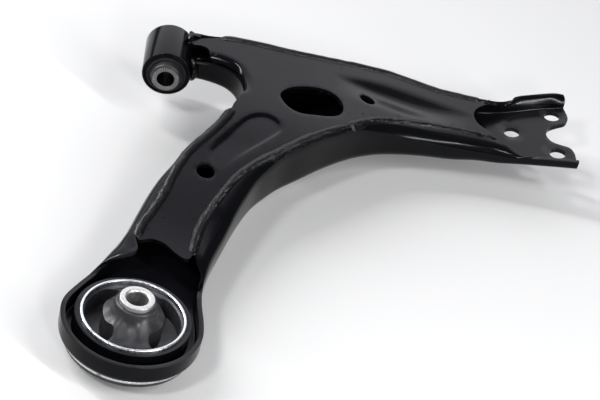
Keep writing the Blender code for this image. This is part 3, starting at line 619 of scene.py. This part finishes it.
def fill_sheet(verts, faces, ring, ring_start, holes, grid, height, marks):
    """Fill a ring with an even net of triangles, leaving holes open."""
    low_x, low_y = ring.min(0)
    high_x, high_y = ring.max(0)
    rows = np.arange(low_y + grid, high_y, 0.87 * grid)
    net = [(x, y) for row, y in enumerate(rows)
           for x in np.arange(low_x + grid * (0.5 + 0.5 * (row % 2)), high_x, grid)]
    net = np.array(net)
    keep = inside(net, ring) & (distance(net, ring, closed=True) > 0.6 * grid)
    for hole in holes:
        keep &= ~inside(net, hole) & (distance(net, hole, closed=True) > 0.5 * grid)
    if len(marks):
        gap = np.linalg.norm(net[:, None] - marks[None], axis=2).min(1)
        keep &= gap > 0.5 * grid
    points = np.vstack([ring] + holes + ([marks] if len(marks) else []) + [net[keep]])
    edges = []
    start = 0
    for loop in [ring] + holes:
        edges += [(start + k, start + (k + 1) % len(loop)) for k in range(len(loop))]
        start += len(loop)
    flat, _, triangles, _, _, _ = delaunay_2d_cdt([Vector(p) for p in points], edges, [], 0, 1e-6)
    flat = np.array([tuple(p) for p in flat])
    heights = height(flat[:, 0], flat[:, 1])
    index = {}
    for k, p in enumerate(flat):
        if k < len(ring):
            index[k] = ring_start + k
        else:
            index[k] = len(verts)
            verts.append((p[0], p[1], heights[k]))
    centres = flat[np.array(triangles)].mean(1)
    keep = inside(centres, ring)
    for hole in holes:
        keep &= ~inside(centres, hole)
    faces += [tuple(index[k] for k in tri) for tri, good in zip(triangles, keep) if good]


def join_rings(faces, start, count, rings):
    for r in range(rings - 1):
        for i in range(count):
            j = (i + 1) % count
            a = start + r * count
            b = a + count
            faces.append((a + i, a + j, b + j, b + i))


# Lower shell ----------------------------------------------------------------------------

def shell_sections(loop):
    """Shoulder width, shoulder drop, rim height and floor radius round the outline."""
    normals = outward_normals(loop)
    x = loop[:, 0]
    y = loop[:, 1]
    room = corner_room(loop)
    gap = reach(loop, -normals, PLATE_OUTLINE, 30.0)
    gap = np.min([np.roll(gap, k) for k in range(-2, 3)], axis=0)
    turn = np.clip(gap - 0.4, 0.0, 17.0)
    tip = loop - normals * turn[:, None]
    rim = crown_height(tip[:, 0], tip[:, 1])
    drop = np.full(len(loop), 8.0)
    radius = np.full(len(loop), 9.0)

    leg = (x < 62.0) & (y < 279.0)
    tucked = np.where(leg, smooth(y, 203.0, 214.0), 0.0)
    turn = turn * (1.0 - tucked)
    rim = mix(rim, np.minimum(crown_height(x, y) - 7.9, 24.0), tucked)
    rim = rim + 1.5 * smooth(x, 22.0, 14.0) * tucked

    tip_end = (x < 45.0) & (y > 290.0)
    turn = np.where(tip_end, turn * smooth(x, 20.0, 36.0), turn)
    rim = np.where(tip_end, rim + 3.5 * smooth(x, 27.0, 13.0), rim)
    front = y > 255.0
    rim = np.where(front, mix(rim, 17.0, smooth(x, 9.5, 6.0)), rim)
    radius = np.where(front, mix(2.0, radius, smooth(x, 5.0, 22.0)), radius)

    cup = y < 100.0
    up = smooth(y, 36.0, 58.0)
    turn = np.where(cup, turn * smooth(y, 42.0, 61.0), turn)
    drop = np.where(cup, mix(2.0, drop, up), drop)
    rim = np.where(cup, mix(CUP_RIM_Z, crown_height(x, y), up), rim)
    radius = np.where(cup, mix(4.5, radius, smooth(y, 30.0, 70.0)), radius)

    end = x > 240.0
    near = y < 295.0
    out = smooth(x, 256.0, 281.0)
    limit = np.where(near, mix(17.0, 10.5, smooth(x, 240.0, 252.0)), 4.5)
    end_turn = mix(np.minimum(turn, limit), np.where(near, 0.0, -FLANGE_LIP), out)
    turn = np.where(end, end_turn, turn)
    drop = np.where(end, mix(drop, np.where(near, 2.0, 4.0), out), drop)
    level = ball_joint_plane(x) + np.where(near, NEAR_LIP, FAR_FLANGE - 3.0 * smooth(x, 309.0, 317.0))
    rise = np.where(near, out, smooth(x, 248.0, 290.0))
    rim = np.where(end, mix(crown_height(np.minimum(x, 262.0), y), level, rise), rim)
    radius = np.where(end, mix(radius, 4.6, smooth(x, 236.0, 262.0)), radius)

    turn = np.minimum(turn, room)
    radius = np.minimum(radius, room)
    wall = rim - underside_height(x, y)
    squeeze = np.minimum(1.0, 0.9 * wall / (drop + radius))
    drop = drop * squeeze
    radius = radius * squeeze
    return [blurred(a, 4) for a in (turn, drop, rim, radius)]


def build_lower_shell():
    loop = SHELL_OUTLINE
    normals = outward_normals(loop)
    turn, drop, rim, radius = shell_sections(loop)
    verts = []
    faces = []
    angles = np.linspace(0.0, 0.5 * math.pi, TURN_RINGS)
    for angle in angles:
        q = loop - normals * (turn * (1.0 - math.sin(angle)))[:, None]
        verts += list(np.column_stack([q, rim - drop * (1.0 - math.cos(angle))]))
    for angle in angles:
        q = loop - normals * (radius * (1.0 - math.cos(angle)))[:, None]
        z = underside_height(q[:, 0], q[:, 1]) + radius * (1.0 - math.sin(angle))
        verts += list(np.column_stack([q, z]))
    rings = 2 * TURN_RINGS
    join_rings(faces, 0, len(loop), rings)
    collar = REAR_SHELL_RADIUS + 0.1
    rim_count = 96
    holes = [circle((0.0, 0.0), collar + COLLAR_CURVE, rim_count)]
    holes += [circle(c, BOLT_RADIUS, 48) for c in BOLT_HOLES]
    fill_sheet(verts, faces, q, (rings - 1) * len(loop), holes, FLOOR_GRID, underside_height, [])
    start = len(verts)
    bends = list(np.linspace(0.0, 0.5 * math.pi, 6)) + [None]
    for angle in bends:
        lean = 1.0 if angle is None else math.sin(angle)
        for p in circle((0.0, 0.0), collar + COLLAR_CURVE * (1.0 - lean), rim_count):
            z = underside_height(p[0], p[1]) + COLLAR_CURVE * (1.0 - math.cos(angle or 0.0))
            verts.append((p[0], p[1], COLLAR_TOP if angle is None else z))
    join_rings(faces, start, rim_count, len(bends))
    shell = new_object("arm_lower_shell", verts, faces, BLACK_COAT, sheet_side=-1)
    add_thickness(shell, SHELL_THICKNESS, True)
    cutters = [prism("fork_cutter", FORK_OUTLINE, -60.0, 80.0), eye_cutter()]
    for cutter in cutters:
        add_cut(shell, cutter)
    add_bevel(shell, 0.5)
    finished(shell, cutters)
    on_body(shell, "arm", "black_coat", "lower_shell")


# Closing plate --------------------------------------------------------------------------

def build_closing_plate():
    loop = PLATE_OUTLINE
    normals = outward_normals(loop)
    room = corner_room(loop)
    verts = []
    faces = []
    insets = (0.0, 0.5, 1.2, 2.2, 3.6, 5.4, 7.6)
    for inset in insets:
        ring = loop - normals * np.minimum(inset, room * inset / insets[-1])[:, None]
        verts += list(np.column_stack([ring, plate_height(ring[:, 0], ring[:, 1])]))
    join_rings(faces, 0, len(loop), len(insets))
    tongue = outward_normals(TONGUE_OUTLINE)
    marks = np.vstack([TONGUE_OUTLINE + tongue * d for d in (1.3, -0.1, -1.4, -2.7)])
    marks = marks[inside(marks, ring) & (distance(marks, ring, closed=True) > 2.0)]
    marks = marks[distance(marks, NECK_HOLE, closed=True) > 2.0]
    fill_sheet(verts, faces, ring, (len(insets) - 1) * len(loop),
               [OVAL_OUTLINE, NECK_HOLE, ARM_HOLE], PLATE_GRID, plate_height, marks)
    plate = new_object("arm_closing_plate", verts, faces, BLACK_COAT, sheet_side=1)
    add_thickness(plate, PLATE_THICKNESS, False)
    cutter = eye_cutter()
    add_cut(plate, cutter)
    add_bevel(plate, 0.6)
    finished(plate, [cutter])
    on_body(plate, "arm", "black_coat", "closing_plate")


# Turned pieces --------------------------------------------------------------------------

def filleted(profile, radius, steps=4):
    """Closed (radius, height) profile with its corners rounded."""
    out = []
    count = len(profile)
    for i in range(count):
        p = Vector(profile[i])
        a = Vector(profile[i - 1]) - p
        b = Vector(profile[(i + 1) % count]) - p
        room = min(radius, 0.42 * a.length, 0.42 * b.length)
        a.normalize()
        b.normalize()
        for k in range(steps + 1):
            t = k / steps
            out.append(p + a * room * (1.0 - t) ** 2 + b * room * t * t)
    return [(q.x, q.y) for q in out]


def turned(name, profile, steps, mat, centre=(0.0, 0.0, 0.0), along_y=False, shape=None):
    """Ring turned from a closed profile; shape may move each (radius, turn, height)."""
    verts = []
    faces = []
    count = len(profile)
    for s in range(steps):
        turn = math.tau * s / steps
        for r, z in profile:
            if shape:
                r, z = shape(r, turn, z)
            x = r * math.cos(turn)
            y = r * math.sin(turn)
            if along_y:
                verts.append((centre[0] + x, centre[1] + z, centre[2] + y))
            else:
                verts.append((centre[0] + x, centre[1] + y, centre[2] + z))
    for s in range(steps):
        a = s * count
        b = ((s + 1) % steps) * count
        for i in range(count):
            j = (i + 1) % count
            faces.append((a + i, b + i, b + j, a + j))
    return new_object(name, verts, faces, mat)


def void_outline(facing):
    """Kidney-shaped pocket in the rear rubber on one side of the sleeve."""
    outer = POCKET_OUTER
    inner = POCKET_INNER
    span = math.radians(POCKET_SPAN)
    middle = 0.5 * (outer + inner)
    half = 0.5 * (outer - inner)
    points = []
    for a in np.linspace(facing - span, facing + span, 25):
        points.append((outer * math.cos(a), outer * math.sin(a)))
    for b in np.linspace(0.0, math.pi, 9)[1:-1]:
        r = middle + half * math.cos(b)
        a = facing + span + half * math.sin(b) / middle
        points.append((r * math.cos(a), r * math.sin(a)))
    for a in np.linspace(facing + span, facing - span, 25):
        points.append((inner * math.cos(a), inner * math.sin(a)))
    for b in np.linspace(math.pi, 0.0, 9)[1:-1]:
        r = middle + half * math.cos(b)
        a = facing - span - half * math.sin(b) / middle
        points.append((r * math.cos(a), r * math.sin(a)))
    return np.array(points)


def flexing(obj, centre, axis):
    """Bakes the rubber's placement into its mesh and works out vertex offsets across the axis, which go
    unused.
    """
    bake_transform(obj)
    spots = np.array([v.co for v in obj.data.vertices]) / MM - np.array(ORIGIN) / MM
    spots = np.delete(spots - np.array(centre), axis, 1)


def rubber_folds(r, turn, z):
    """Soft ribs down the cone of the rear rubber."""
    on_cone = float(smooth(r, 12.6, 16.0) * smooth(r, 30.0, 24.0)) if z > -6.0 else 0.0
    ribs = 0.9 * math.cos(6.0 * turn + 0.6) + 0.3 * math.cos(9.0 * turn + 0.8)
    return r, z + on_cone * ribs


def build_rear_bush():
    shell_out = REAR_SHELL_RADIUS
    shell_in = shell_out - REAR_SHELL_WALL
    flange_top = CUP_FLOOR_Z - 0.1
    ring = turned("rear_ring",
                  filleted([(shell_out, 0.0), (shell_out, flange_top),
                            (REAR_FLANGE_RADIUS, flange_top),
                            (REAR_FLANGE_RADIUS, REAR_FLANGE_LOW), (shell_in, REAR_FLANGE_LOW),
                            (shell_in, 0.0)], 0.8),
                  160, ZINC)
    finished(ring)
    on_body(ring, "arm", "zinc_steel", "rear_bush_outer_shell")
    lip = REAR_FLANGE_LOW - 0.1
    bore = REAR_SLEEVE_RADIUS + 0.05
    cone = spline([(bore, 10.9), (12.6, 10.9), (13.6, 9.9), (14.2, 7.4), (15.6, 4.6), (18.4, 1.6),
                   (22.4, -1.0), (27.0, -3.2), (30.4, -4.4), (31.6, -3.4), (shell_in - 0.1, -3.0)],
                  0.8, closed=False)
    under = spline([(shell_in - 0.1, lip), (41.0, lip), (42.1, lip - 1.3), (41.7, lip - 3.4),
                    (39.4, lip - 4.5), (34.0, lip - 4.2), (31.0, lip - 2.0), (25.0, -19.0),
                    (18.0, -20.4), (14.6, -24.4), (13.6, -29.4), (12.6, -30.3), (bore, -30.3)],
                   1.0, closed=False)
    profile = [tuple(p) for p in np.vstack([cone, under])]
    rubber = turned("rear_rubber", profile, 128, BUSH_RUBBER, shape=rubber_folds)
    cutters = [prism("pocket_" + side, void_outline(facing), POCKET_FLOOR, 30.0)
               for side, facing in (("outboard", 0.0), ("inboard", math.pi))]
    for cutter in cutters:
        add_cut(rubber, cutter)
    add_bevel(rubber, 1.0, 55.0)
    finished(rubber, cutters)
    rubber.data.transform(rubber.matrix_world)
    rubber.matrix_world = Matrix.Identity(4)
    flexing(rubber, (0.0, 0.0, 0.0), 2)
    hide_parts("rear_bush_rubber")
    sleeve = turned("rear_sleeve",
                    filleted([(REAR_SLEEVE_RADIUS, REAR_SLEEVE_TOP),
                              (REAR_SLEEVE_RADIUS, REAR_SLEEVE_BOTTOM),
                              (REAR_SLEEVE_BORE + 0.9, REAR_SLEEVE_BOTTOM),
                              (REAR_SLEEVE_BORE, REAR_SLEEVE_BOTTOM + 1.2),
                              (REAR_SLEEVE_BORE, REAR_SLEEVE_TOP - 1.2),
                              (REAR_SLEEVE_BORE + 0.9, REAR_SLEEVE_TOP)], 0.5),
                    96, SLEEVE_STEEL)
    finished(sleeve)
    on_body(sleeve, "rear_sleeve", "sleeve_steel", "rear_bush_inner_sleeve")


def serrated(r, turn, z):
    """Radial teeth pressed into both ends of the front sleeve."""
    wave = 0.5 + 0.5 * math.cos(SERRATIONS * turn)
    groove = float(smooth(wave, 0.45, 0.75) * smooth(r, 6.7, 7.1))
    near_end = float(smooth(abs(z), FRONT_SLEEVE_HALF_LENGTH - 2.0, FRONT_SLEEVE_HALF_LENGTH - 0.5))
    return r, z - math.copysign(SERRATION_DEPTH * groove * near_end, z)


def build_front_bush():
    centre = (0.0, EYE_Y, EYE_Z)
    half = EYE_HALF_LENGTH
    tube_in = EYE_RADIUS - EYE_WALL
    tube = turned("front_eye",
                  filleted([(EYE_RADIUS, half), (EYE_RADIUS, -half), (tube_in, -half),
                            (tube_in, half)], 0.8),
                  144, BLACK_COAT, centre, along_y=True)
    finished(tube)
    on_body(tube, "arm", "black_coat", "front_eye_tube")
    ring_out = tube_in - 0.05
    ring_in = tube_in - 1.7
    edge = half - 0.2
    ring = turned("front_ring",
                  filleted([(ring_out, edge), (ring_out, -edge), (ring_in, -edge), (ring_in, edge)],
                           0.4),
                  120, BLACK_COAT, centre, along_y=True)
    finished(ring)
    on_body(ring, "arm", "black_coat", "front_bush_outer_shell")
    bore = FRONT_SLEEVE_RADIUS + 0.05
    wall = ring_in - 0.05
    top = [(bore, half + 5.6), (bore + 0.8, half + 5.4), (bore + 1.4, half + 4.2),
           (bore + 2.2, half - 0.2), (wall - 1.2, half - 0.4), (wall - 0.6, half + 0.9),
           (wall, half + 0.9)]
    low_side = [(r, -z) for r, z in reversed(top)]
    rubber = turned("front_rubber",
                    [tuple(p) for p in np.vstack([spline(top, 0.5, closed=False),
                                                  spline(low_side, 0.5, closed=False)])],
                    120, BUSH_RUBBER, centre, along_y=True)
    finished(rubber)
    rubber.data.transform(rubber.matrix_world)
    rubber.matrix_world = Matrix.Identity(4)
    flexing(rubber, centre, 1)
    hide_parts("front_bush_rubber")
    length = FRONT_SLEEVE_HALF_LENGTH
    end_face = [(r, length) for r in np.arange(FRONT_SLEEVE_BORE + 0.4, FRONT_SLEEVE_RADIUS, 0.28)]
    steps_down = [(FRONT_SLEEVE_RADIUS, length - d) for d in (0.0, 0.5, 1.0, 2.0)]
    outer = end_face + steps_down
    profile = outer + [(r, -z) for r, z in reversed(outer)]
    profile += [(FRONT_SLEEVE_BORE, 0.4 - length), (FRONT_SLEEVE_BORE, length - 0.4)]
    sleeve = turned("front_sleeve", profile, 10 * SERRATIONS, TOOTHED_STEEL, centre, along_y=True,
                    shape=serrated)
    finished(sleeve)
    on_body(sleeve, "front_sleeve", "sleeve_steel", "front_bush_inner_sleeve")


# Weld beads -----------------------------------------------------------------------------

RIPPLE = 1.7


def seam_path(start, stop):
    """Part of the closing plate's edge, counter-clockwise from start to stop."""
    first, last = (int(np.linalg.norm(PLATE_OUTLINE - np.array(p), axis=1).argmin())
                   for p in (start, stop))
    count = len(PLATE_OUTLINE)
    ids = [(first + k) % count for k in range((last - first) % count + 1)]
    return PLATE_OUTLINE[ids]


def wobble(s, seed, size):
    """Slow unevenness along a bead, about one in amplitude."""
    return 1.6 * noise.noise(Vector((s / size, seed, 0.37)))


def ripple(s, t, seed):
    """Height lost in the grooves between the crescents of a bead."""
    phase = s + 0.5 * wobble(s, seed + 5.0, 6.0) - 1.9 * t * t
    wave = 0.5 + 0.5 * math.cos(math.tau * phase / RIPPLE)
    return 0.52 * wave ** 2


def seam_bead(name, node, path, seed, width=BEAD_WIDTH, height=BEAD_HEIGHT):
    """Rippled bead lying over the seam between the closing plate and the shell."""
    path = evened(path, BEAD_STEP, closed=False)
    count = len(path)
    along = np.gradient(path, axis=0)
    for _ in range(6):
        along[1:-1] = 0.25 * along[:-2] + 0.5 * along[1:-1] + 0.25 * along[2:]
    along /= np.linalg.norm(along, axis=1)[:, None]
    side = np.column_stack([along[:, 1], -along[:, 0]])
    across = np.linspace(-1.0, 1.0, 15)
    verts = []
    faces = []
    arc = len(across) + 1
    for i in range(count):
        s = BEAD_STEP * i
        ends = min(i, count - 1 - i) * BEAD_STEP
        taper = math.sqrt(min(1.0, (ends + 0.4) / 4.0))
        half = 0.5 * width * taper * (1.0 + 0.07 * wobble(s, seed, 5.0))
        rise = height * taper * (1.0 + 0.09 * wobble(s, seed + 2.0, 7.0))
        shift = 0.3 * wobble(s, seed + 3.0, 9.0)
        for t in across:
            q = path[i] + side[i] * (half * t + shift)
            z = float(crown_height(q[0], q[1])) + rise * math.sqrt(max(1.0 - t * t, 0.0))
            z -= ripple(s, t, seed) * taper + 1.5 * float(smooth(t, 0.1, 1.0)) + 0.1
            verts.append((q[0], q[1], z))
        verts.append((*path[i], float(crown_height(*path[i])) - 2.2))
    for i in range(count - 1):
        for k in range(arc):
            m = (k + 1) % arc
            faces.append((i * arc + k, (i + 1) * arc + k, (i + 1) * arc + m, i * arc + m))
    faces.append(tuple(range(arc)))
    faces.append(tuple(range((count - 1) * arc, count * arc)))
    spatter(verts, faces, path, side, seed)
    bead = new_object(name, verts, faces, WELD_COAT)
    finished(bead, sharp=60.0)
    on_body(bead, "arm", "weld_coat", node)


def spatter(verts, faces, path, side, seed):
    """Small balls of metal thrown on to the sheet beside the bead."""
    draw = np.random.default_rng(int(seed * 10))
    for _ in range(max(4, len(path) // 26)):
        i = int(draw.integers(4, len(path) - 4))
        away = -(4.2 + 9.0 * draw.random() ** 2)
        q = path[i] + side[i] * away
        size = 0.22 + 0.4 * draw.random() ** 2
        z = float(plate_height(q[0], q[1])[0]) + 0.35 * size
        start = len(verts)
        for k in range(3):
            lift = size * (1.0, 0.7, -0.6)[k]
            wide = size * (0.35, 0.85, 1.0)[k]
            for j in range(6):
                a = math.tau * (j + 0.5 * k) / 6
                verts.append((q[0] + wide * math.cos(a), q[1] + wide * math.sin(a), z + lift))
        join_rings(faces, start, 6, 3)
        faces.append(tuple(start + j for j in range(6)))
        faces.append(tuple(start + 12 + j for j in range(6)))


def corner_bead(name, node, points, radius, seed):
    """Rippled round bead lying in a corner along a path of points."""
    path = evened(np.array(points, float), CORNER_STEP, closed=False)
    count = len(path)
    along = np.gradient(path, axis=0)
    along /= np.linalg.norm(along, axis=1)[:, None]
    verts = []
    faces = []
    arc = 14
    for i in range(count):
        s = CORNER_STEP * i
        ends = min(i, count - 1 - i) * CORNER_STEP
        taper = math.sqrt(min(1.0, (ends + 0.5) / (1.2 * radius)))
        first = Vector(along[i]).orthogonal().normalized()
        second = Vector(along[i]).cross(first)
        for k in range(arc):
            a = math.tau * k / arc
            swell = 1.0 + 0.1 * wobble(s, seed, 4.0) - 0.16 * ripple(s, math.cos(a), seed)
            q = Vector(path[i]) + (first * math.cos(a) + second * math.sin(a)) * radius * taper * swell
            verts.append(tuple(q))
    join_rings(faces, 0, arc, count)
    faces.append(tuple(range(arc)))
    faces.append(tuple(range((count - 1) * arc, count * arc)))
    bead = new_object(name, verts, faces, WELD_COAT)
    finished(bead, sharp=60.0)
    on_body(bead, "arm", "weld_coat", node)


def around_eye(radius, y, start, stop, count):
    """Points on a circle about the pivot axis, angles measured up from outboard."""
    angles = np.radians(np.linspace(start, stop, count))
    return np.column_stack([radius * np.cos(angles), np.full(count, y), EYE_Z + radius * np.sin(angles)])


def build_welds():
    seam_bead("bead_outer_edge", "weld_outer_edge", seam_path((47.5, 206), (-5, 66)), 1.0)
    seam_bead("bead_inner_neck", "weld_inner_edge_neck", seam_path((33.2, 61), (134, 222)), 2.0)
    seam_bead("bead_inner_outboard", "weld_inner_edge_outboard",
              seam_path((137, 225), (252, 267.4)), 3.0)
    seam_bead("bead_far_edge", "weld_far_edge", seam_path((246, 316.2), (36, 296)), 4.0, 6.4, 1.9)
    corner_bead("bead_eye_top", "weld_eye_top", [(13.4, y, 29.2) for y in (285.6, 288.5, 291.4)], 2.9, 5.0)
    corner_bead("bead_eye_near", "weld_eye_near", around_eye(EYE_RADIUS + 2.2, 267.9, -18.0, 34.0, 12),
                2.6, 6.0)
    corner_bead("bead_eye_far", "weld_eye_far", around_eye(EYE_RADIUS + 2.0, 299.6, -18.0, 50.0, 12),
                2.0, 7.0)


build_lower_shell()
build_closing_plate()
build_rear_bush()
build_front_bush()
build_welds()


# Stage, light and camera ----------------------------------------------------------------

AIM = ORIGIN + Vector((106.15, 154.43, 0.0)) * MM
CAMERA_YAW = -8.65
CAMERA_PITCH = 35.95
CAMERA_ROLL = 15.96
CAMERA_DISTANCE = 1.3786
CAMERA_LENS = 117.02
FLOOR_HALF = 6.0


def build_floor():
    size = FLOOR_HALF
    mesh = bpy.data.meshes.new("floor")
    mesh.from_pydata([(-size, -size, 0.0), (size, -size, 0.0), (size, size, 0.0), (-size, size, 0.0)],
                     [], [(0, 1, 2, 3)])
    floor = bpy.data.objects.new("floor", mesh)
    paint = Paint("pale_floor", Roughness=0.9, Specular_IOR_Level=0.1)
    tone = paint.blend(paint.noise(3.0, 3.0), (0.50, 0.50, 0.50), (0.53, 0.53, 0.53))
    paint.colour(tone)
    mesh.materials.append(paint.mat)
    bpy.context.scene.collection.objects.link(floor)


def softbox(name, azimuth, elevation, far, wide, tall, radiance, colour=(1.0, 1.0, 1.0)):
    """Area light facing the arm; azimuth 0 is towards +X and 90 towards +Y."""
    a = math.radians(azimuth)
    e = math.radians(elevation)
    out = Vector((math.cos(a) * math.cos(e), math.sin(a) * math.cos(e), math.sin(e)))
    lamp = bpy.data.lights.new(name, "AREA")
    lamp.shape = "RECTANGLE"
    lamp.size = wide
    lamp.size_y = tall
    lamp.energy = radiance * math.pi * wide * tall
    lamp.color = colour
    obj = bpy.data.objects.new(name, lamp)
    obj.location = AIM + out * far
    obj.rotation_euler = out.to_track_quat("Z", "Y").to_euler()
    bpy.context.scene.collection.objects.link(obj)


def build_light():
    softbox("back_panel", 105.0, 35.0, 1.9, 3.0, 1.75, 1.85, (0.95, 0.95, 1.0))
    softbox("left_strip", 162.0, 38.0, 1.6, 0.085, 1.4, 75.0)
    softbox("right_strip", -42.0, 32.0, 1.6, 0.075, 1.8, 75.0)
    softbox("front_box", -130.0, 45.0, 1.6, 0.20, 0.20, 75.0)
    softbox("low_box", -80.0, 30.0, 1.6, 0.16, 0.16, 80.0)
    world = bpy.data.worlds.new("studio")
    world.use_nodes = True
    back = world.node_tree.nodes["Background"]
    back.inputs["Color"].default_value = (0.9, 0.93, 1.0, 1.0)
    back.inputs["Strength"].default_value = 0.13
    bpy.context.scene.world = world


def build_camera():
    yaw = math.radians(CAMERA_YAW)
    pitch = math.radians(CAMERA_PITCH)
    roll = math.radians(CAMERA_ROLL)
    back = Vector((math.sin(yaw) * math.cos(pitch), -math.cos(yaw) * math.cos(pitch), math.sin(pitch)))
    level = Vector((0.0, 0.0, 1.0)).cross(back).normalized()
    upright = back.cross(level)
    right = level * math.cos(roll) + upright * math.sin(roll)
    up = upright * math.cos(roll) - level * math.sin(roll)
    lens = bpy.data.cameras.new("camera")
    lens.sensor_width = 36.0
    lens.lens = CAMERA_LENS
    lens.clip_start = 0.01
    camera = bpy.data.objects.new("camera", lens)
    place = Matrix((right, up, back)).transposed().to_4x4()
    place.translation = AIM + back * CAMERA_DISTANCE
    camera.matrix_world = place
    bpy.context.scene.collection.objects.link(camera)
    bpy.context.scene.camera = camera


build_floor()
build_light()
build_camera()
bpy.context.scene.view_settings.view_transform = "Standard"
